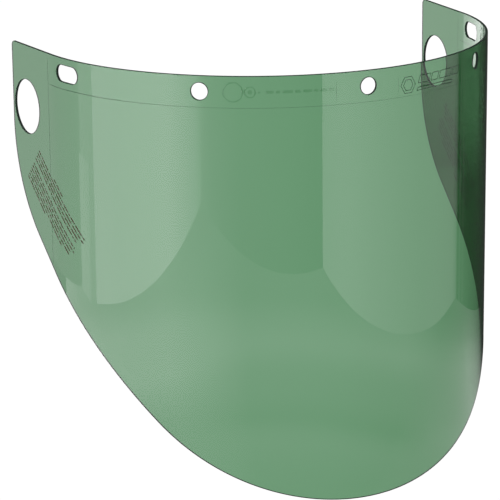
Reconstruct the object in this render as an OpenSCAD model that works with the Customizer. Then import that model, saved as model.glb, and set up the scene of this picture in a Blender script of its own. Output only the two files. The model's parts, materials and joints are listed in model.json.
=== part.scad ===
// Face-shield window: one clear tinted sheet, curved round the face, with two flat ears.
// The sheet is described on its flat pattern: u is the distance along the outer face from the
// centre line, z is the height.  Its outer face is a true cylinder at the front and true planes
// at the ears, and its lower edge follows the flat pattern's arcs.
// Origin: axis of the centre hole at the outer face.  +Z up, +X to the right seen from the
// front, +Y towards the wearer.

/* [Sheet] */
// Height of the window on its centre line
window_h = 247.65; // [230:0.05:265]
// Thickness of the sheet
sheet_t = 1.52; // [1:0.01:2.5]
// Radius of the outer face round the front
bend_r = 135.7; // [134.5:0.1:142]
// Angle from the centre line to the end of the curve, on each side
bend_angle = 86.6; // [86.6:0.2:87]
// Length of each flat ear beyond the curve
ear_len = 50; // [48.5:0.05:56]

/* [Outline] */
// Radius of the rounded bottom on the flat pattern
bottom_r = 186.4; // [176:0.1:196]
// Slope of the straight lower edges, in degrees from level
edge_slope = 41.4; // [40:0.1:43]
// Radius between each lower edge and its ear's rear edge
corner_r = 88.2; // [78:0.1:94]
// Radius of the top corner of each ear
ear_top_r = 3; // [1:0.1:6]

/* [Holes for the headgear] */
// Depth of the row of holes below the top edge
hole_drop = 8.88; // [8:0.01:12]
// Radius of the three round holes
hole_r = 4.76; // [3.5:0.01:5.5]
// Distance along the sheet between neighbouring round holes
hole_pitch = 95.25; // [80:0.05:105]
// Distance along the sheet from the centre line to the middle of each slot
slot_u = 186.9; // [178:0.1:192]
// Overall length of each slot
slot_len = 20.4; // [12:0.1:24]
// Height of each slot
slot_h = 9.52; // [7:0.01:11]
// Distance along the sheet from the centre line to each ear hole
ear_hole_u = 236.7; // [225:0.1:238]
// Depth of the ear holes below the top edge
ear_hole_drop = 36.1; // [30:0.1:42]
// Radius of the ear holes
ear_hole_r = 15.9; // [12:0.1:16.5]

/* [Printing] */
// Thickness of the ink
ink_t = 0.1; // [0.05:0.01:0.2]
// Height of one printed line
line_h = 1.45; // [0.8:0.05:1.8]
// Distance from one printed line to the next
line_pitch = 2.4; // [2:0.05:2.6]
// Extra gap between the upper and the lower block of lines
block_gap = 1.9; // [1:0.1:3]
// Length of the longest printed line
line_len = 66; // [40:1:68]
// Distance along the sheet from the centre line to the start of the first line
print_u = 222.4; // [218:0.1:225]
// Depth of the start of the first line below the top edge
print_drop = 59.4; // [56:0.1:66]

/* [Hidden] */
$fn = 180;

// Room that cutting bodies stand clear of the faces they cut
margin = 1;
// Steps along the rounded bottom, the straight edge, the corner and one printed line
bottom_steps = 26;
edge_steps = 22;
corner_steps = 24;
line_steps = 6;

// The flat pattern
bend_u = bend_r * bend_angle * PI / 180;
half_u = bend_u + ear_len;
bottom_end_u = bottom_r * sin(edge_slope);
bottom_end_z = -window_h + bottom_r * (1 - cos(edge_slope));
corner_u = half_u - corner_r;
corner_start_u = corner_u + corner_r * sin(edge_slope);
corner_start_z = bottom_end_z + (corner_start_u - bottom_end_u) * tan(edge_slope);
corner_z = corner_start_z + corner_r * cos(edge_slope);

// Share of the longest line that each line fills, upper block then lower block
upper_fill = [0.99, 1, 0.95, 0.93];
lower_fill = [0.95, 0.97, 0.94, 0.93, 0.8, 0.44];
// The heading: one step above the first line, its start and length as shares of the longest
heading_start = 0.34;
heading_fill = 0.2;

// Height of the lower outline, below the top edge, at distance u from the centre line
function lower_z(u) =
    u <= bottom_end_u ? -window_h + bottom_r - sqrt(pow(bottom_r, 2) - pow(u, 2))
    : u <= corner_start_u ? bottom_end_z + (u - bottom_end_u) * tan(edge_slope)
    : corner_z - sqrt(max(0, pow(corner_r, 2) - pow(u - corner_u, 2)));

// Stations along half of the outline, from the centre line to the ear's rear edge
half_stations = concat(
    [for (i = [0:bottom_steps]) bottom_r * sin(edge_slope * i / bottom_steps)],
    [for (i = [1:edge_steps]) bottom_end_u + (corner_start_u - bottom_end_u) * i / edge_steps],
    [for (i = [1:corner_steps])
        corner_u + corner_r * sin(edge_slope + (90 - edge_slope) * i / corner_steps)]
);
half_count = len(half_stations);
stations = concat(
    [for (i = [half_count - 1:-1:1]) -half_stations[i]],
    half_stations
);

// Plan position of a point at distance s along the sheet and depth d inside its outer face
function arc_xy(s, d) = let (a = s / bend_r * 180 / PI)
    [(bend_r - d) * sin(a), bend_r - (bend_r - d) * cos(a)];
function ear_xy(s, d) = let (side = sign(s), run = abs(s) - bend_u) [
    side * (bend_r * sin(bend_angle) + run * cos(bend_angle) - d * sin(bend_angle)),
    bend_r * (1 - cos(bend_angle)) + run * sin(bend_angle) + d * cos(bend_angle)
];
function plan_xy(s, d) = abs(s) <= bend_u ? arc_xy(s, d) : ear_xy(s, d);

// Moves a feature to distance s along the sheet: its x runs along the sheet and its y inwards
module on_sheet(s, z) {
    mirror([s < 0 ? 1 : 0, 0, 0])
    if (abs(s) <= bend_u)
        translate([0, bend_r, z])
        rotate([0, 0, abs(s) / bend_r * 180 / PI])
        translate([0, -bend_r, 0])
        children();
    else
        translate([0, 0, z])
        translate(plan_xy(bend_u, 0))
        rotate([0, 0, bend_angle])
        translate([abs(s) - bend_u, 0, 0])
        children();
}

// Plan of everything inside depth d: the round front and the space between the ears
module inside_plan(d, run_len) {
    translate([0, bend_r]) circle(r = bend_r - d);
    polygon([
        plan_xy(bend_u, d),
        plan_xy(bend_u + run_len, d),
        plan_xy(-bend_u - run_len, d),
        plan_xy(-bend_u, d)
    ]);
}

// Plan of a wall that follows the sheet from depth d_out to depth d_in, ears run_len long
module wall_plan(d_out, d_in, run_len) {
    difference() {
        inside_plan(d_out, run_len);
        inside_plan(d_in, run_len + margin);
    }
}

// A body that holds the sheet inside its outline and stands clear of both faces
module outline_body() {
    corners = [
        for (s = stations)
            for (d = [-margin, sheet_t + margin])
                for (z = [lower_z(abs(s)), margin])
                    concat(plan_xy(s, d), [z])
    ];
    last = 4 * (len(stations) - 1);
    strips = [
        for (a = [0:4:last - 4])
            each [
                [a, a + 1, a + 5, a + 4],
                [a + 2, a + 6, a + 7, a + 3],
                [a + 1, a + 3, a + 7, a + 5],
                [a, a + 4, a + 6],
                [a, a + 6, a + 2]
            ]
    ];
    ends = [
        [2, 3, 1, 0],
        [last, last + 1, last + 3, last + 2]
    ];
    polyhedron(points = corners, faces = concat(strips, ends), convexity = 6);
}

// A round hole square to the sheet
module round_hole(s, z, r) {
    on_sheet(s, z)
    translate([0, -margin, 0])
    rotate([-90, 0, 0])
    cylinder(r = r, h = sheet_t + 2 * margin);
}

// A slot with round ends, square to the sheet at its middle
module slot_hole(s, z) {
    end_x = slot_len / 2 - slot_h / 2;
    on_sheet(s, z)
    translate([0, -margin, 0]) {
        for (x = [-end_x, end_x])
            translate([x, 0, 0])
            rotate([-90, 0, 0])
            cylinder(r = slot_h / 2, h = sheet_t + 2 * margin);
        translate([-end_x, 0, -slot_h / 2])
        cube([2 * end_x, sheet_t + 2 * margin, slot_h]);
    }
}

// The waste outside the rounded top corner of an ear
module ear_corner_waste(s) {
    on_sheet(s, -ear_top_r)
    translate([-ear_top_r, -margin, 0])
    difference() {
        cube([ear_top_r + margin, sheet_t + 2 * margin, ear_top_r + margin]);
        translate([0, -margin, 0])
        rotate([-90, 0, 0])
        cylinder(r = ear_top_r, h = sheet_t + 4 * margin);
    }
}

module window() {
    color([0.32, 0.58, 0.42, 0.6])
    translate([0, 0, hole_drop])
    difference() {
        intersection() {
            translate([0, 0, -window_h - margin])
            linear_extrude(height = window_h + margin)
            wall_plan(0, sheet_t, ear_len + margin);
            outline_body();
        }
        for (s = [-hole_pitch, 0, hole_pitch])
            round_hole(s, -hole_drop, hole_r);
        for (side = [-1, 1]) {
            slot_hole(side * slot_u, -hole_drop);
            round_hole(side * ear_hole_u, -ear_hole_drop, ear_hole_r);
            ear_corner_waste(side * half_u);
        }
    }
}

// Where a line starts, as a share of the longest: the block turns end for end to sit flush in front
function line_start(start, fill, flush_front) = flush_front ? 1 - start - fill : start;

// One line of print on the right ear, parallel to the lower edge, row steps down the block
module print_line(down, start, fill) {
    top_u = print_u + down * sin(edge_slope) - start * line_len * cos(edge_slope);
    top_z = -print_drop - down * cos(edge_slope) - start * line_len * sin(edge_slope);
    run_u = fill * line_len * cos(edge_slope);
    half_z = line_h / 2 / cos(edge_slope);
    run = [for (i = [0:line_steps]) top_u - run_u * i / line_steps];
    function line_z(u) = top_z - (top_u - u) * tan(edge_slope);
    rotate([90, 0, 90])
    linear_extrude(height = bend_r + ear_len)
    polygon(concat(
        [for (i = [0:line_steps]) [plan_xy(run[i], 0)[1], line_z(run[i]) + half_z]],
        [for (i = [line_steps:-1:0]) [plan_xy(run[i], 0)[1], line_z(run[i]) - half_z]]
    ));
}

// The whole block of print on the right ear, as a thin layer on the outer face: its lines are
// flush at the rear end, or at the front end when flush_front is set
module ear_print(flush_front) {
    block_h = len(upper_fill) * line_pitch + block_gap;
    translate([0, 0, hole_drop])
    intersection() {
        translate([0, 0, -window_h])
        linear_extrude(height = window_h)
        wall_plan(-ink_t, 0, ear_len);
        union() {
            print_line(-line_pitch, line_start(heading_start, heading_fill, flush_front), heading_fill);
            for (i = [0:len(upper_fill) - 1])
                print_line(i * line_pitch, line_start(0, upper_fill[i], flush_front), upper_fill[i]);
            for (i = [0:len(lower_fill) - 1])
                print_line(
                    block_h + i * line_pitch,
                    line_start(0, lower_fill[i], flush_front),
                    lower_fill[i]
                );
        }
    }
}

module right_print() {
    color([0.26, 0.2, 0.16])
    ear_print(true);
}

module left_print() {
    color([0.26, 0.2, 0.16])
    mirror([1, 0, 0])
    ear_print(false);
}

window();
left_print();
right_print();
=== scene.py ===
"""Face-shield window: the moulded tinted sheet, its ink and its studio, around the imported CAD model."""
import json
import math
import random

import bpy
from mathutils import Matrix, Vector
from mathutils.geometry import delaunay_2d_cdt
from mathutils.kdtree import KDTree


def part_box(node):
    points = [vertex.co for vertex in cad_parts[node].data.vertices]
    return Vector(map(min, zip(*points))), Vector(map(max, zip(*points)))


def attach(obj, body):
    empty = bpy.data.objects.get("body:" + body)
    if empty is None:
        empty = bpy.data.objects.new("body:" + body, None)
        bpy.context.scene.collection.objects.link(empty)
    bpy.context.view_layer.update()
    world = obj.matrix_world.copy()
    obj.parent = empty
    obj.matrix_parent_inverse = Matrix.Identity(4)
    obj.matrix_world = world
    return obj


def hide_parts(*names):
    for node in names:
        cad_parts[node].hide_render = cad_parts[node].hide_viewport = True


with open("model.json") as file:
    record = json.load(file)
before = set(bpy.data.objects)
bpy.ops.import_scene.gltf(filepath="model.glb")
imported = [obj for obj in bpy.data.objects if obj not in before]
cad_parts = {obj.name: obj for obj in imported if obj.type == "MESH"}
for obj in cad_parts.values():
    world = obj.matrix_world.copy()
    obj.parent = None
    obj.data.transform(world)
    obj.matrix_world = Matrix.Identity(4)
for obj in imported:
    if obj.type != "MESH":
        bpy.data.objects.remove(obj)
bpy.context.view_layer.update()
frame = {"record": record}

MM = 0.001

# ---------------------------------------------------------------- driving sizes, in metres
MOUNTS = {m["name"]: m for m in frame["record"]["mounts"]}
WINDOW_LOW, WINDOW_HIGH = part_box("window")
BROW = MOUNTS["right_brow_hole"]["pos_m"]
EAR = MOUNTS["right_ear_hole"]

THICK = MOUNTS["centre_hole"]["dims"]["length_mm"] * MM
BEND_R = (BROW[0] ** 2 + BROW[1] ** 2) / (2 * BROW[1])
BEND_ANGLE = math.atan2(EAR["axis"][0], -EAR["axis"][1])
BEND_S = BEND_R * BEND_ANGLE
BEND_END = (BEND_R * math.sin(BEND_ANGLE), BEND_R * (1 - math.cos(BEND_ANGLE)))
HALF_S = BEND_S + (WINDOW_HIGH[1] - BEND_END[1]) / math.sin(BEND_ANGLE)
TOP_Z = WINDOW_HIGH[2]
BOTTOM_Z = WINDOW_LOW[2]

BROW_S = BEND_R * math.atan2(BROW[0], BEND_R - BROW[1])
BROW_HOLE_R = MOUNTS["centre_hole"]["dims"]["r_mm"] * MM
EAR_S = BEND_S + math.hypot(EAR["pos_m"][0] - BEND_END[0], EAR["pos_m"][1] - BEND_END[1])
EAR_Z = EAR["pos_m"][2]
EAR_HOLE_R = EAR["dims"]["r_mm"] * MM
SLOT = MOUNTS["right_slot"]["pos_m"]
SLOT_S = BEND_R * math.atan2(SLOT[0], BEND_R - SLOT[1])

# The slots' size and the outline, as in the CAD model
SLOT_LEN = 20.4 * MM
SLOT_H = 9.52 * MM
BOTTOM_R = 186.4 * MM
EDGE_SLOPE = math.radians(41.4)
CORNER_R = 88.2 * MM
EAR_TOP_R = 3 * MM

# Rounding of every rim, and the height and sloping side of a raised mark
EDGE_ROUND = 0.28 * MM
RELIEF = 0.22 * MM
RELIEF_WALL = 0.16 * MM

# Witness lines: GROOVE_FINE wide up to FINE_S from the centre line, GROOVE_W wide from BOLD_S on
GROOVE_W = 0.24 * MM
GROOVE_FINE = 0.09 * MM
FINE_S = 90 * MM
BOLD_S = 170 * MM
GROOVE_DEPTH = 0.12 * MM
SCORE_W = 0.36 * MM
LINE_CLEAR = 0.9 * MM
BAND_DROP = 17.7 * MM
BAND_Z = TOP_Z - BAND_DROP
CREASE_S = 207.8 * MM
INSERT_S = 19.4 * MM
INSERT_DROP = 4.5 * MM

# Plain marks at the brow, in millimetres: rings as (place, radius, width), dots as
# (place, radius, how fine), a row of bars, and two hexagons beside two rows of slanted boxes
BROW_RINGS = ((-76.5, 5.7, 0.75), (-67.2, 3.3, 0.7))
BROW_DOTS = ((-67.2, 1.2, 2), (-62.2, 0.6, 3))
BAR_START = -58.5
BAR_WIDTHS = (4.2, 2.0, 5.4, 3.0, 4.6, 1.8, 3.6, 2.6)
BAR_H = 1.7
BAR_GAP = 1.5
BADGE_PLACE = (26.5, -2.6)
BADGE_RADII = (5.4, 3.6)
BOX_ROWS = ((34.5, (9.0, 6.0, 11.0, 7.0)), (33.0, (31.0,)))
BOX_GAP = 1.2
BOX_SLANT = 0.35


# ---------------------------------------------------------------- the sheet's flat pattern
def on_sheet(s, z, depth=0.0):
    """The point at distance s along the outer face, height z and a depth inside that face."""
    side = math.copysign(1.0, s)
    run = abs(s)
    if run <= BEND_S:
        a = run / BEND_R
        r = BEND_R - depth
        return Vector((side * r * math.sin(a), BEND_R - r * math.cos(a), z))
    x = BEND_END[0] + (run - BEND_S) * math.cos(BEND_ANGLE) - depth * math.sin(BEND_ANGLE)
    y = BEND_END[1] + (run - BEND_S) * math.sin(BEND_ANGLE) + depth * math.cos(BEND_ANGLE)
    return Vector((side * x, y, z))


def outward(s):
    """The outer face's normal at distance s."""
    a = math.copysign(min(abs(s) / BEND_R, BEND_ANGLE), s)
    return Vector((math.sin(a), -math.cos(a), 0.0))


def along(s):
    """The direction of growing s in the sheet at distance s."""
    n = outward(s)
    return Vector((-n.y, n.x, 0.0))


def arc(cx, cz, r, start, stop, step):
    """Points on an arc in the flat pattern, from angle start up to, not including, stop."""
    count = max(3, round(abs(stop - start) * r / step))
    angles = [start + (stop - start) * i / count for i in range(count)]
    return [(cx + r * math.cos(a), cz + r * math.sin(a)) for a in angles]


def straight(a, b, step):
    """Points on a straight line in the flat pattern, from a up to, not including, b."""
    count = max(1, round(math.dist(a, b) / step))
    return [(a[0] + (b[0] - a[0]) * i / count, a[1] + (b[1] - a[1]) * i / count) for i in range(count)]


def outline(step):
    """The window's outline, anticlockwise seen from the front, starting at the lowest point."""
    bottom_cz = BOTTOM_Z + BOTTOM_R
    corner_cs = HALF_S - CORNER_R
    sin_e, cos_e, tan_e = math.sin(EDGE_SLOPE), math.cos(EDGE_SLOPE), math.tan(EDGE_SLOPE)
    bottom_end = (BOTTOM_R * sin_e, bottom_cz - BOTTOM_R * cos_e)
    corner_s = corner_cs + CORNER_R * sin_e
    corner_z = bottom_end[1] + (corner_s - bottom_end[0]) * tan_e
    corner_cz = corner_z + CORNER_R * cos_e
    right = arc(0, bottom_cz, BOTTOM_R, -math.pi / 2, EDGE_SLOPE - math.pi / 2, step)
    right += straight(bottom_end, (corner_s, corner_z), step)
    right += arc(corner_cs, corner_cz, CORNER_R, EDGE_SLOPE - math.pi / 2, 0, step)
    right += straight((HALF_S, corner_cz), (HALF_S, TOP_Z - EAR_TOP_R), step)
    right += arc(HALF_S - EAR_TOP_R, TOP_Z - EAR_TOP_R, EAR_TOP_R, 0, math.pi / 2, step / 5)
    right += straight((HALF_S - EAR_TOP_R, TOP_Z), (0, TOP_Z), step)
    left = [(-s, z) for s, z in reversed(right[1:])]
    return right + [(0, TOP_Z)] + left


def round_loop(cs, cz, r, step):
    """A circle in the flat pattern, clockwise, so that the sheet lies on its left."""
    return arc(cs, cz, r, 0, -2 * math.pi, step)


def slot_loop(cs, cz, length, height, step):
    """A slot with round ends, clockwise."""
    r = height / 2
    half = length / 2 - r
    loop = arc(cs + half, cz, r, math.pi / 2, -math.pi / 2, step)
    loop += straight((cs + half, cz - r), (cs - half, cz - r), 3 * step)
    loop += arc(cs - half, cz, r, -math.pi / 2, -3 * math.pi / 2, step)
    return loop + straight((cs - half, cz + r), (cs + half, cz + r), 3 * step)


def loop_normals(loop):
    """Unit normals of a closed loop, to the right of its direction, which is away from the sheet."""
    normals = []
    for i, (s, z) in enumerate(loop):
        s0, z0 = loop[i - 1]
        s1, z1 = loop[(i + 1) % len(loop)]
        back = math.hypot(s - s0, z - z0)
        ahead = math.hypot(s1 - s, z1 - z)
        ds = (s - s0) / back + (s1 - s) / ahead
        dz = (z - z0) / back + (z1 - z) / ahead
        size = math.hypot(ds, dz)
        normals.append((dz / size, -ds / size))
    return normals


def inset(loop, normals, distance):
    return [(s - ns * distance, z - nz * distance) for (s, z), (ns, nz) in zip(loop, normals)]


# ---------------------------------------------------------------- relief on the outer face
def rounded_box(cs, cz, width, height, r, step, slant=0.0):
    """A box with round corners, anticlockwise, leaning by slant."""
    r = min(r, width / 2, height / 2)
    w, h = width / 2 - r, height / 2 - r
    points = []
    for i, (x, y) in enumerate(((w, -h), (w, h), (-w, h), (-w, -h))):
        points += arc(x, y, r, (i - 1) * math.pi / 2, i * math.pi / 2, step)
        points.append((x + r * math.cos(i * math.pi / 2), y + r * math.sin(i * math.pi / 2)))
    return [(cs + x + slant * y, cz + y) for x, y in dedupe(points)]


def dedupe(points):
    kept = []
    for p in points:
        if not kept or math.dist(p, kept[-1]) > 1e-6:
            kept.append(p)
    if math.dist(kept[0], kept[-1]) < 1e-6:
        kept.pop()
    return kept


def polygon_loop(cs, cz, r, sides):
    """A regular polygon, anticlockwise, with one corner to the right."""
    angles = [2 * math.pi * i / sides for i in range(sides)]
    return [(cs + r * math.cos(a), cz + r * math.sin(a)) for a in angles]


def raised_patch(loop, wall=RELIEF_WALL, height=RELIEF):
    """Constraint loops and heights of a raised patch."""
    normals = loop_normals(loop)
    return [(loop, 0.0), (inset(loop, normals, wall), height)]


def raised_ring(outer, width, wall=RELIEF_WALL, height=RELIEF):
    """Constraint loops and heights of a raised line that follows a closed loop."""
    normals = loop_normals(outer)
    steps = ((0, 0.0), (wall, height), (width - wall, height), (width, 0.0))
    return [(inset(outer, normals, d), h) for d, h in steps]


def groove_width(s):
    """Half the width of a witness line: it is crisper towards the ears than in the middle."""
    near = min(1.0, max(0.0, (abs(s) - FINE_S) / (BOLD_S - FINE_S)))
    return (GROOVE_FINE + (GROOVE_W - GROOVE_FINE) * near) / 2


def groove(points):
    """Constraint loops and heights of a shallow V groove with pointed ends, along a straight line."""
    (s0, z0), (s1, z1) = points[0], points[-1]
    size = math.dist((s0, z0), (s1, z1))
    ns, nz = -(z1 - z0) / size, (s1 - s0) / size
    inner = points[1:-1]
    low = [(s - ns * groove_width(s), z - nz * groove_width(s)) for s, z in inner]
    high = [(s + ns * groove_width(s), z + nz * groove_width(s)) for s, z in reversed(inner)]
    return [points[0]] + low + [points[-1]] + high, inner, GROOVE_DEPTH


def scored_outline(loop, width=SCORE_W):
    """Constraint loops and heights of a V groove that follows a closed loop."""
    normals = loop_normals(loop)
    steps = ((0, 0.0), (width / 2, -GROOVE_DEPTH), (width, 0.0))
    return [(inset(loop, normals, d), h) for d, h in steps]


def brow_marks():
    """Plain raised shapes where the real sheet has moulded marks: none of them is a letter."""
    marks = []
    step = 0.5 * MM
    for place, radius, width in BROW_RINGS:
        ring = arc(place * MM, 0, radius * MM, 0, 2 * math.pi, step)
        marks += raised_ring(ring, width * MM)
    for place, radius, fine in BROW_DOTS:
        marks += raised_patch(arc(place * MM, 0, radius * MM, 0, 2 * math.pi, step / fine))
    bar_s = BAR_START * MM
    for width in BAR_WIDTHS:
        width *= MM
        bar = rounded_box(bar_s + width / 2, 0, width, BAR_H * MM, 0.5 * MM, step / 2)
        marks += raised_patch(bar)
        bar_s += width + BAR_GAP * MM
    return marks + badge_marks(step)


def badge_marks(step):
    """Two hexagons beside two rows of slanted boxes, scored into the sheet."""
    marks = []
    badge_s, badge_z = BADGE_PLACE[0] * MM, BADGE_PLACE[1] * MM
    for radius in BADGE_RADII:
        marks += scored_outline(polygon_loop(badge_s, badge_z, radius * MM, 6))
    for row, (start, widths) in enumerate(BOX_ROWS):
        cz = badge_z + (2.2 - 5.4 * row) * MM
        height = (4.6 - 2.6 * row) * MM
        for width in widths:
            middle = (start + width / 2) * MM
            box = rounded_box(middle, cz, width * MM, height, 0.7 * MM, step, BOX_SLANT)
            marks += scored_outline(box)
            start += width + BOX_GAP
    return marks


def witness_grooves():
    """The faint lines that the mould leaves: under the brow band, at the bends, round the marks."""
    bend_bottom = BOTTOM_Z + BOTTOM_R * (1 - math.cos(EDGE_SLOPE))
    bend_bottom += (CREASE_S - BOTTOM_R * math.sin(EDGE_SLOPE)) * math.tan(EDGE_SLOPE)
    end_s = CREASE_S - LINE_CLEAR
    band = [(s, BAND_Z) for s in spaced(-end_s, end_s, 4 * MM)]
    lines = [band]
    for side in (-1, 1):
        top, low = TOP_Z - LINE_CLEAR, bend_bottom + LINE_CLEAR
        lines.append([(side * CREASE_S, z) for z in spaced(top, low, 6 * MM)])
        insert_top, insert_low = TOP_Z - INSERT_DROP, BAND_Z + LINE_CLEAR
        lines.append([(side * INSERT_S, z) for z in spaced(insert_top, insert_low, 4 * MM)])
    return [groove(line) for line in lines]


def spaced(a, b, step):
    count = max(2, round(abs(b - a) / step))
    return [a + (b - a) * i / count for i in range(count + 1)]


# ---------------------------------------------------------------- the sheet's mesh
CELL = 4 * MM
CELL_CLEAR = 0.55 * CELL
EDGE_STEP = 2 * MM
ROUND_ANGLES = (90, 60, 30, 0)


def boundary_loops():
    loops = [outline(EDGE_STEP)]
    for s in (-BROW_S, 0.0, BROW_S):
        loops.append(round_loop(s, 0.0, BROW_HOLE_R, EDGE_STEP / 3))
    for side in (-1, 1):
        loops.append(slot_loop(side * SLOT_S, 0.0, SLOT_LEN, SLOT_H, EDGE_STEP / 3))
        loops.append(round_loop(side * EAR_S, EAR_Z, EAR_HOLE_R, EDGE_STEP / 2))
    return loops


def edge_profile():
    """Inset, depth and normal angle of each ring of points from the outer face to the inner one."""
    rings = []
    for a in ROUND_ANGLES:
        turn = math.radians(a)
        rings.append((EDGE_ROUND * (1 - math.cos(turn)), EDGE_ROUND * (1 - math.sin(turn)), turn))
    for inset_by, depth, turn in reversed(rings[:]):
        rings.append((inset_by, THICK - depth, -turn))
    return rings


class Flat:
    """Points, edges and heights of the flat pattern, for one triangulation."""

    def __init__(self):
        self.points, self.edges, self.heights, self.faces = [], [], [], []

    def add(self, points, height=0.0, closed=True):
        first = len(self.points)
        self.points += points
        self.heights += [height] * len(points)
        ids = list(range(first, len(self.points)))
        self.edges += list(zip(ids, ids[1:]))
        if closed:
            self.edges.append((ids[-1], ids[0]))
        return ids

    def fill(self, cell, clear):
        """Adds a grid of loose points that stays clear of everything added so far."""
        tree = KDTree(len(self.points))
        for i, (s, z) in enumerate(self.points):
            tree.insert((s, z, 0.0), i)
        tree.balance()
        for s in spaced(-HALF_S, HALF_S, cell):
            for z in spaced(BOTTOM_Z, TOP_Z, cell):
                if tree.find((s, z, 0.0))[2] > clear:
                    self.points.append((s, z))
                    self.heights.append(0.0)

    def triangles(self):
        """Flat vertices, their heights, triangles inside the sheet, and where each added point went."""
        flat = [Vector((s / MM, z / MM)) for s, z in self.points]
        out, _, tris, from_verts, _, from_faces = delaunay_2d_cdt(flat, self.edges, self.faces, 0, 1e-5)
        places = {}
        heights = []
        for i, sources in enumerate(from_verts):
            heights.append(self.heights[sources[0]] if sources else 0.0)
            for j in sources:
                places[j] = i
        inside = [t for t, sources in zip(tris, from_faces) if set(sources) == {0}]
        return [(v.x * MM, v.y * MM) for v in out], heights, inside, places


def flat_sheet(loops, normals):
    """The triangulated flat pattern, and each boundary loop's points in it."""
    flat = Flat()
    loop_ids = []
    for loop, away in zip(loops, normals):
        ids = flat.add(inset(loop, away, EDGE_ROUND))
        loop_ids.append(ids)
        flat.faces.append(ids if loop is loops[0] else ids[::-1])
    for points, height in brow_marks():
        flat.add(points, height)
    for ring, middle, depth in witness_grooves():
        flat.add(ring)
        flat.add(middle, -depth, closed=False)
    flat.fill(CELL, CELL_CLEAR)
    return *flat.triangles(), loop_ids


class Sheet:
    """The sheet's vertices, faces, corner normals and cut faces (painted dark as shade), as they are built
    up.
    """

    def __init__(self):
        self.verts, self.faces, self.corner_normals, self.cut = [], [], [], []

    def add_faces(self, cells, heights, tris, number):
        """The outer face with its relief, and the plain inner face behind it."""
        count = len(number)
        self.verts += [on_sheet(*cells[i], -heights[i]) for i in number]
        self.verts += [on_sheet(*cells[i], THICK) for i in number]
        for t in tris:
            face = [number[i] for i in t]
            if heights[t[0]] == heights[t[1]] == heights[t[2]]:
                shading = [outward(cells[i][0]) for i in t]
            else:
                a, b, c = (self.verts[i] for i in face)
                shading = [(b - a).cross(c - a).normalized()] * 3
            self.faces.append(face)
            self.corner_normals += shading
            # groove faces take the second material, which paints them near-black as shade
            self.cut.append(min(heights[i] for i in t) < 0)
            self.faces.append([i + count for i in reversed(face)])
            self.cut.append(False)
            self.corner_normals += [-outward(cells[i][0]) for i in reversed(t)]

    def add_rim(self, loop, away, outer, inner):
        """The rounded wall from the outer face's points to the inner face's, along one loop."""
        rings = edge_profile()
        rows = [outer]
        for inset_by, depth, _ in rings[1:-1]:
            start = len(self.verts)
            self.verts += [on_sheet(*p, depth) for p in inset(loop, away, inset_by)]
            rows.append(list(range(start, len(self.verts))))
        rows.append(inner)
        sides = [along(s) * ns + Vector((0, 0, nz)) for (s, _), (ns, nz) in zip(loop, away)]
        for k in range(len(rows) - 1):
            for i in range(len(loop)):
                j = (i + 1) % len(loop)
                self.faces.append([rows[k][i], rows[k + 1][i], rows[k + 1][j], rows[k][j]])
                # every rim face takes the second material, which paints the edge near-black as shade
                self.cut.append(True)
                for ring, corner in ((k, i), (k + 1, i), (k + 1, j), (k, j)):
                    turn = rings[ring][2]
                    face_normal = outward(loop[corner][0]) * math.sin(turn)
                    self.corner_normals.append(face_normal + sides[corner] * math.cos(turn))


def window_mesh():
    """The whole sheet as one closed mesh: two faces, rounded edges, relief and witness grooves."""
    loops = boundary_loops()
    normals = [loop_normals(loop) for loop in loops]
    cells, heights, tris, places, loop_ids = flat_sheet(loops, normals)
    used = sorted({i for t in tris for i in t})
    number = {old: new for new, old in enumerate(used)}
    sheet = Sheet()
    sheet.add_faces(cells, heights, tris, number)
    for loop, away, ids in zip(loops, normals, loop_ids):
        outer = [number[places[i]] for i in ids]
        sheet.add_rim(loop, away, outer, [i + len(used) for i in outer])
    return sheet.verts, sheet.faces, sheet.corner_normals, sheet.cut


def mesh_object(name, verts, faces, corner_normals=None, second_material=None):
    mesh = bpy.data.meshes.new(name)
    mesh.from_pydata([tuple(v) for v in verts], [], faces)
    mesh.shade_smooth()
    if corner_normals:
        mesh.normals_split_custom_set([tuple(n) for n in corner_normals])
    if second_material:
        mesh.polygons.foreach_set("material_index", [int(c) for c in second_material])
    obj = bpy.data.objects.new(name, mesh)
    bpy.context.scene.collection.objects.link(obj)
    return obj


# ---------------------------------------------------------------- printed ink
INK_T = 0.05 * MM
LINE_H = 1.0 * MM
LINE_PITCH = 2.4 * MM
BLOCK_GAP = 1.9 * MM
LINE_LEN = 66 * MM
PRINT_S = 222.4 * MM
PRINT_Z = TOP_Z - 59.4 * MM
UPPER_FILL = (0.99, 1.0, 0.95, 0.93)
LOWER_FILL = (0.95, 0.97, 0.94, 0.93, 0.8, 0.44)
HEADING = (0.34, 0.2)

# Dashes, in millimetres: their length, the gap between them, and the steps and corners of each
DASH_RUN = (2.0, 9.0)
DASH_GAP = (0.4, 0.6)
SHORTEST_REST = 1 * MM
DASH_STEP = 1.2 * MM
DASH_ROUND = 0.3 * MM
INK_SINK = 0.004 * MM


def print_lines(flush_front):
    """Each line of print as its distance down the block, its start and its length."""
    lower = len(UPPER_FILL) * LINE_PITCH + BLOCK_GAP
    rows = [(-LINE_PITCH, *HEADING)]
    rows += [(i * LINE_PITCH, 0.0, fill) for i, fill in enumerate(UPPER_FILL)]
    rows += [(lower + i * LINE_PITCH, 0.0, fill) for i, fill in enumerate(LOWER_FILL)]
    if flush_front:
        rows = [(down, 1 - start - fill, fill) for down, start, fill in rows]
    return [(down, start * LINE_LEN, fill * LINE_LEN) for down, start, fill in rows]


def dashes(length, rng):
    """Starts and ends of plain dashes that fill a line as words would."""
    spans = []
    at = 0.0
    while at < length - SHORTEST_REST:
        run = min(rng.uniform(*DASH_RUN) * MM, length - at)
        spans.append((at, at + run))
        at += run + rng.uniform(*DASH_GAP) * MM
    return spans


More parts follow.
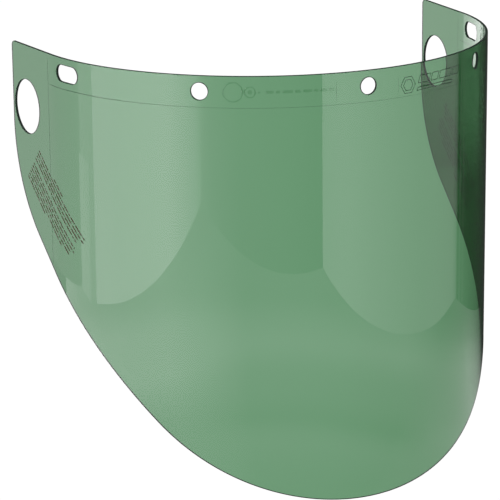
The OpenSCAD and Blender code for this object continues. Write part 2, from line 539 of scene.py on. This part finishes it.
def ink_mesh(side, rng):
    """A block of print on one ear: thin rounded dashes that lie on the outer face."""
    verts, faces = [], []
    cos_e, sin_e = math.cos(EDGE_SLOPE), math.sin(EDGE_SLOPE)
    for down, start, length in print_lines(side > 0):
        for a, b in dashes(length, rng):
            height = LINE_H * rng.uniform(0.92, 1.0)
            steps = max(2, round((b - a) / DASH_STEP))
            first = len(verts)
            for i in range(steps + 1):
                t = start + a + (b - a) * i / steps
                half = height / 2 - (DASH_ROUND if i in (0, steps) else 0.0)
                for q in (-half, half):
                    run = PRINT_S - t * cos_e + (down + q) * sin_e
                    z = PRINT_Z - t * sin_e - (down + q) * cos_e
                    for depth in (-INK_T, INK_SINK):
                        verts.append(on_sheet(side * run, z, depth))
            for i in range(steps):
                c = first + 4 * i
                for p, q in ((0, 2), (2, 3), (3, 1), (1, 0)):
                    quad = [c + p, c + q, c + q + 4, c + p + 4]
                    faces.append(quad)
            faces.append([first, first + 1, first + 3, first + 2])
            last = first + 4 * steps
            faces.append([last, last + 2, last + 3, last + 1])
    if side > 0:
        faces = [list(reversed(f)) for f in faces]
    return verts, faces


def ink_object(name, side, seed):
    verts, faces = ink_mesh(side, random.Random(seed))
    return mesh_object(name, verts, faces)


# ---------------------------------------------------------------- materials
class Nodes:
    """A short way to write a node material."""

    def __init__(self, name):
        self.material = bpy.data.materials.new(name)
        self.material.use_nodes = True
        self.tree = self.material.node_tree
        self.tree.nodes.clear()
        self.output = self.add("ShaderNodeOutputMaterial")

    def add(self, kind, **settings):
        node = self.tree.nodes.new(kind)
        for key, value in settings.items():
            if hasattr(node, key):
                setattr(node, key, value)
            else:
                node.inputs[key.replace("_", " ")].default_value = value
        return node

    def link(self, a, b):
        self.tree.links.new(a, b)

    def noise(self, scale, detail=3.0, roughness=0.5, stretch=None):
        node = self.add("ShaderNodeTexNoise")
        node.inputs["Scale"].default_value = scale
        node.inputs["Detail"].default_value = detail
        node.inputs["Roughness"].default_value = roughness
        place = self.coords
        if stretch:
            mapping = self.add("ShaderNodeMapping")
            mapping.inputs["Scale"].default_value = stretch
            self.link(place, mapping.inputs["Vector"])
            place = mapping.outputs["Vector"]
        self.link(place, node.inputs["Vector"])
        return node.outputs["Fac"]

    def remap(self, value, low, high, to_low, to_high):
        node = self.add("ShaderNodeMapRange")
        for socket, number in zip(node.inputs[1:5], (low, high, to_low, to_high)):
            socket.default_value = number
        self.link(value, node.inputs["Value"])
        return node.outputs["Result"]

    def ramp(self, value, stops):
        node = self.add("ShaderNodeValToRGB")
        elements = node.color_ramp.elements
        while len(elements) < len(stops):
            elements.new(0.5)
        for element, (place, colour) in zip(elements, stops):
            element.position = place
            element.color = (*colour, 1.0)
        self.link(value, node.inputs["Fac"])
        return node.outputs["Color"]

    def bump(self, value, distance, strength=1.0):
        node = self.add("ShaderNodeBump")
        node.inputs["Strength"].default_value = strength
        node.inputs["Distance"].default_value = distance
        self.link(value, node.inputs["Height"])
        return node.outputs["Normal"]

    @property
    def coords(self):
        if not hasattr(self, "_coords"):
            self._coords = self.add("ShaderNodeTexCoord").outputs["Object"]
        return self._coords

    def attribute(self, name):
        node = self.add("ShaderNodeAttribute")
        node.attribute_name = name
        return node.outputs["Fac"]


FACE_TINT = ((0.985, 0.975, 0.98), (1.0, 1.0, 1.0))
TINT = (0.099, 0.4675, 0.1836)
TINT_DENSITY = 1400.0
# Near-black colours of the cut edges and witness grooves: painted shade for the dark refraction at edges
# and creases
EDGE_SHADE_COLOURS = ((0.006, 0.011, 0.008), (0.02, 0.034, 0.025))
INK_COLOURS = ((0.05, 0.037, 0.026), (0.115, 0.09, 0.066))


def tinted_sheet_material():
    """Green clear plastic: glossy faces, with the tint in the volume behind them."""
    m = Nodes("tinted_plastic")
    shader = m.add("ShaderNodeBsdfPrincipled")
    shader.inputs["Transmission Weight"].default_value = 1.0
    shader.inputs["IOR"].default_value = 1.49
    streaks = m.noise(26.0, 3.0, 0.55, stretch=(1.0, 1.0, 0.25))
    m.link(m.ramp(streaks, ((0.2, FACE_TINT[0]), (0.8, FACE_TINT[1]))), shader.inputs["Base Color"])
    m.link(m.remap(m.noise(90.0, 4.0, 0.6), 0.3, 0.7, 0.004, 0.016), shader.inputs["Roughness"])
    tint = m.add("ShaderNodeVolumeAbsorption")
    tint.inputs["Color"].default_value = (*TINT, 1.0)
    tint.inputs["Density"].default_value = TINT_DENSITY
    m.link(shader.outputs["BSDF"], m.output.inputs["Surface"])
    m.link(tint.outputs["Volume"], m.output.inputs["Volume"])
    return m.material


def painted_shade_edge_material():
    """The trimmed edges and the witness lines, opaque and near-black: painted shade, so that they look as
    dark as the refraction makes them on the real sheet; fine tool marks vary it.
    """
    m = Nodes("painted_shade_edge")
    shader = m.add("ShaderNodeBsdfPrincipled")
    shader.inputs["Specular IOR Level"].default_value = 0.12
    ticks = m.noise(900.0, 3.0, 0.6)
    m.link(m.ramp(ticks, ((0.3, EDGE_SHADE_COLOURS[0]), (0.7, EDGE_SHADE_COLOURS[1]))), shader.inputs["Base Color"])
    m.link(m.remap(ticks, 0.3, 0.7, 0.5, 0.75), shader.inputs["Roughness"])
    m.link(m.bump(ticks, 0.00003), shader.inputs["Normal"])
    m.link(shader.outputs["BSDF"], m.output.inputs["Surface"])
    return m.material


def ink_material():
    """Thin dark screen-printing ink that breaks up a little over the gloss."""
    m = Nodes("screen_ink")
    shader = m.add("ShaderNodeBsdfPrincipled")
    cover = m.noise(1400.0, 3.0, 0.7)
    m.link(m.ramp(cover, ((0.3, INK_COLOURS[0]), (0.7, INK_COLOURS[1]))), shader.inputs["Base Color"])
    m.link(m.remap(m.noise(700.0), 0.3, 0.7, 0.6, 0.85), shader.inputs["Roughness"])
    shader.inputs["Specular IOR Level"].default_value = 0.06
    m.link(m.bump(cover, 0.00002), shader.inputs["Normal"])
    m.link(shader.outputs["BSDF"], m.output.inputs["Surface"])
    return m.material


# ---------------------------------------------------------------- studio
FLOOR_Z = BOTTOM_Z - 0.3 * MM
FLOOR_HALF = 12.0
STUDIO_WHITE = 1.03
GLOW = "glow"


def glow_material(name):
    """Light whose strength is given point by point on the mesh."""
    m = Nodes(name)
    light = m.add("ShaderNodeEmission")
    m.link(m.attribute(GLOW), light.inputs["Strength"])
    m.link(light.outputs["Emission"], m.output.inputs["Surface"])
    m.material.cycles.emission_sampling = "NONE"
    return m.material


def floor_material():
    m = Nodes("pale_floor")
    light = m.add("ShaderNodeEmission")
    light.inputs["Strength"].default_value = STUDIO_WHITE
    mottle = m.ramp(m.noise(3.0), ((0.0, (0.995, 0.995, 0.995)), (1.0, (1.0, 1.0, 1.0))))
    m.link(mottle, light.inputs["Color"])
    m.material.cycles.emission_sampling = "NONE"
    m.link(light.outputs["Emission"], m.output.inputs["Surface"])
    return m.material


def stage_mesh(name, verts, faces, material, glow=None, seen=True):
    obj = mesh_object(name, verts, faces)
    obj.data.materials.append(material)
    if glow:
        obj.data.attributes.new(GLOW, "FLOAT", "POINT").data.foreach_set("value", glow)
    if not seen:
        obj.visible_camera = False
        obj.visible_transmission = False
        obj.visible_diffuse = False
        obj.visible_shadow = False
    return obj


def floor():
    corners = ((-1, -1), (1, -1), (1, 1), (-1, 1))
    verts = [(x * FLOOR_HALF, y * FLOOR_HALF, FLOOR_Z) for x, y in corners]
    return stage_mesh("floor", verts, [(0, 1, 2, 3)], floor_material())


def light_wall(name, points, low, high, material, foot=1.0):
    """An upright card along points (x, y, strength), seen only in reflections; foot dims its lower edge."""
    verts, glow = [], []
    for x, y, strength in points:
        verts += [(x, y, low), (x, y, high)]
        glow += [strength * foot, strength]
    faces = [(2 * i, 2 * i + 2, 2 * i + 3, 2 * i + 1) for i in range(len(points) - 1)]
    return stage_mesh(name, verts, faces, material, glow, seen=False)


# Each card is a list of (x, y, strength), tuned together for the soft reflections of the main view
LEFT_SOFTBOX = (
    (-0.463, 0.250, 3.7), (-0.480, 0.205, 3.95), (-0.519, 0.077, 4.2), (-0.575, -0.109, 4.4),
    (-0.602, -0.198, 3.6), (-0.639, -0.323, 2.6), (-0.655, -0.375, 1.8),
)
LEFT_BACK = (
    (-0.468, 0.250, 2.45), (-0.468, 0.334, 2.35), (-0.466, 0.342, 1.75), (-0.450, 0.360, 1.6),
    (-0.380, 0.480, 1.2), (-0.300, 0.700, 1.1),
)
LEFT_LOW = ((-0.455, 0.278, 2.8), (-0.455, 0.337, 2.8))
LEFT_LOW_TOP = -0.137
FRONT_FLAG = (
    (-0.655, -0.375, 1.6), (-0.582, -0.387, 1.1), (-0.380, -0.422, 0.45), (-0.223, -0.449, 0.28),
    (-0.032, -0.482, 0.1), (0.014, -0.490, 0.08),
)
RIGHT_SOFTBOX = (
    (0.015, -0.490, 1.95), (0.097, -0.389, 2.2), (0.142, -0.332, 2.05), (0.220, -0.236, 1.7),
    (0.294, -0.144, 1.35), (0.340, -0.086, 1.2), (0.394, -0.020, 0.95), (0.410, 0.000, 0.88),
)
RIGHT_FLAG = (
    (0.410, 0.000, 0.85), (0.420, 0.018, 0.6), (0.421, 0.024, 0.4), (0.420, 0.030, 0.14),
    (0.416, 0.038, 0.08), (0.413, 0.046, 0.26), (0.410, 0.054, 0.09), (0.405, 0.066, 0.18),
    (0.400, 0.080, 0.1), (0.380, 0.120, 0.07), (0.310, 0.280, 0.04), (0.250, 0.450, 0.04),
)
BACK_FLAG = ((0.1, 1.0, 0.03), (1.1, 0.75, 0.03), (1.4, 0.2, 0.03))
BACK_SOFTBOX = (
    (-0.300, 0.700, 1.3), (-0.072, 0.700, 1.35), (-0.060, 0.700, 2.1), (0.130, 0.700, 2.1),
    (0.230, 0.700, 1.7), (0.300, 0.690, 1.0), (0.400, 0.680, 0.4),
)
BACK_FOOT_Z = -0.178
BACK_FOOT_DIM = 0.2
BACK_CARD_Z = 0.03
BACK_TOP_Z = 1.2
WALL_TOP_Z = 0.45

# The floor's glow: rings as (radius, strength) in each sector, and sectors as (turn in degrees, rings)
RING_CENTRE = (-0.05, 0.02)
RING_STEP = 0.01
TURN_STEP = 3.0
GLOW_LIFT = 0.1 * MM
LEFT_RINGS = (
    (0.02, 1.1), (0.12, 1.6), (0.185, 1.9), (0.24, 2.7), (0.28, 3.3), (0.38, 3.2), (0.42, 2.75),
    (0.46, 2.35), (0.74, 2.1),
)
FRONT_RINGS = (
    (0.02, 0.55), (0.07, 0.7), (0.12, 0.95), (0.14, 0.85), (0.165, 0.5), (0.18, 0.6), (0.21, 0.8),
    (0.26, 0.95), (0.32, 1.5), (0.37, 1.2), (0.43, 0.75), (0.74, 0.7),
)
RIGHT_RINGS = (
    (0.02, 0.9), (0.12, 1.1), (0.165, 1.2), (0.205, 1.05), (0.31, 1.05), (0.35, 0.85), (0.38, 0.6),
    (0.43, 0.4), (0.74, 0.3),
)
DARK_RINGS = ((0.02, 0.04), (0.74, 0.04))
BACK_RINGS = ((0.02, 0.15), (0.45, 0.2), (0.74, 0.35))
SECTORS = (
    (-80, LEFT_RINGS), (-35, FRONT_RINGS), (58, FRONT_RINGS), (80, RIGHT_RINGS), (101, RIGHT_RINGS),
    (119, DARK_RINGS), (132, DARK_RINGS), (158, BACK_RINGS), (180, BACK_RINGS),
)
FIRST_TURN = -140


def between(table, x):
    """The value at x of a line drawn through a short list of (x, value)."""
    for (x0, v0), (x1, v1) in zip(table, table[1:]):
        if x <= x1:
            return v0 + (v1 - v0) * (x - x0) / (x1 - x0)
    return table[-1][1]


def ring_glow(r, turn):
    """The floor's brightness at a distance and a turn: each sector has its own rings."""
    sectors = [(at, between(rings, r)) for at, rings in SECTORS]
    return between(sectors, max(turn, sectors[0][0]))


def floor_glow(material):
    """Bright and dark rings on the floor round the front, seen only in reflections."""
    radii = spaced(FRONT_RINGS[0][0], FRONT_RINGS[-1][0], RING_STEP)
    turns = spaced(FIRST_TURN, SECTORS[-1][0], TURN_STEP)
    verts, glow = [], []
    for r in radii:
        for turn in turns:
            a = math.radians(turn)
            x = RING_CENTRE[0] + r * math.sin(a)
            y = RING_CENTRE[1] - r * math.cos(a)
            verts.append((x, y, FLOOR_Z + GLOW_LIFT))
            glow.append(ring_glow(r, turn))
    n = len(turns)
    faces = []
    for i in range(len(radii) - 1):
        for j in range(n - 1):
            a = i * n + j
            faces.append((a, a + n, a + n + 1, a + 1))
    return stage_mesh("floor_glow", verts, faces, material, glow, seen=False)


def studio():
    scene = bpy.context.scene
    scene.view_settings.view_transform = "Standard"
    world = bpy.data.worlds.new("studio")
    world.use_nodes = True
    background = world.node_tree.nodes["Background"]
    background.inputs["Color"].default_value = (1.0, 1.0, 1.0, 1.0)
    background.inputs["Strength"].default_value = STUDIO_WHITE
    world.cycles.sampling_method = "NONE"
    scene.world = world
    floor()
    glow = glow_material("studio_light")
    low, high = FLOOR_Z, WALL_TOP_Z
    light_wall("left_softbox", LEFT_SOFTBOX, low, high, glow)
    light_wall("left_back", LEFT_BACK, low, high, glow)
    light_wall("front_flag", FRONT_FLAG, low, high, glow)
    light_wall("right_softbox", RIGHT_SOFTBOX, low, high, glow)
    light_wall("right_flag", RIGHT_FLAG, low, high, glow)
    light_wall("back_flag", BACK_FLAG, BACK_CARD_Z, BACK_TOP_Z, glow)
    light_wall("back_softbox", BACK_SOFTBOX, BACK_FOOT_Z, BACK_CARD_Z, glow)
    light_wall("back_softbox_foot", BACK_SOFTBOX, low, BACK_FOOT_Z, glow, foot=BACK_FOOT_DIM)
    light_wall("left_low_card", LEFT_LOW, low, LEFT_LOW_TOP, glow)
    floor_glow(glow)


# ---------------------------------------------------------------- camera
CAMERA_TARGET = Vector((-0.033638, 0.080, -0.107857))
CAMERA_AZIMUTH = math.radians(-26.51)
CAMERA_ELEVATION = math.radians(15.313)
CAMERA_ROLL = math.radians(-0.54)
CAMERA_DISTANCE = 1.5604
CAMERA_LENS = 194.56


def camera():
    data = bpy.data.cameras.new("camera")
    data.lens = CAMERA_LENS
    data.sensor_width = 36.0
    obj = bpy.data.objects.new("camera", data)
    bpy.context.scene.collection.objects.link(obj)
    level = math.cos(CAMERA_ELEVATION)
    back = Vector((
        math.sin(CAMERA_AZIMUTH) * level,
        -math.cos(CAMERA_AZIMUTH) * level,
        math.sin(CAMERA_ELEVATION),
    ))
    right = (-back).cross(Vector((0, 0, 1))).normalized()
    up = right.cross(-back)
    tilted = right * math.cos(CAMERA_ROLL) + up * math.sin(CAMERA_ROLL)
    axes = Matrix((tilted, back.cross(tilted), back)).transposed()
    obj.matrix_world = Matrix.Translation(CAMERA_TARGET + back * CAMERA_DISTANCE) @ axes.to_4x4()
    bpy.context.scene.camera = obj


# ---------------------------------------------------------------- the object
def shield():
    window = mesh_object("window_sheet", *window_mesh())
    window.data.materials.append(tinted_sheet_material())
    # second slot: cut edges and witness grooves painted near-black as shade
    window.data.materials.append(painted_shade_edge_material())
    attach(window, "root")
    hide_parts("window")
    ink = ink_material()
    for name, node, side, seed in (("left_ink", "left_print", -1, 3), ("right_ink", "right_print", 1, 8)):
        block = ink_object(name, side, seed)
        block.data.materials.append(ink)
        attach(block, "root")
        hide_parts(node)


camera()
studio()
shield()
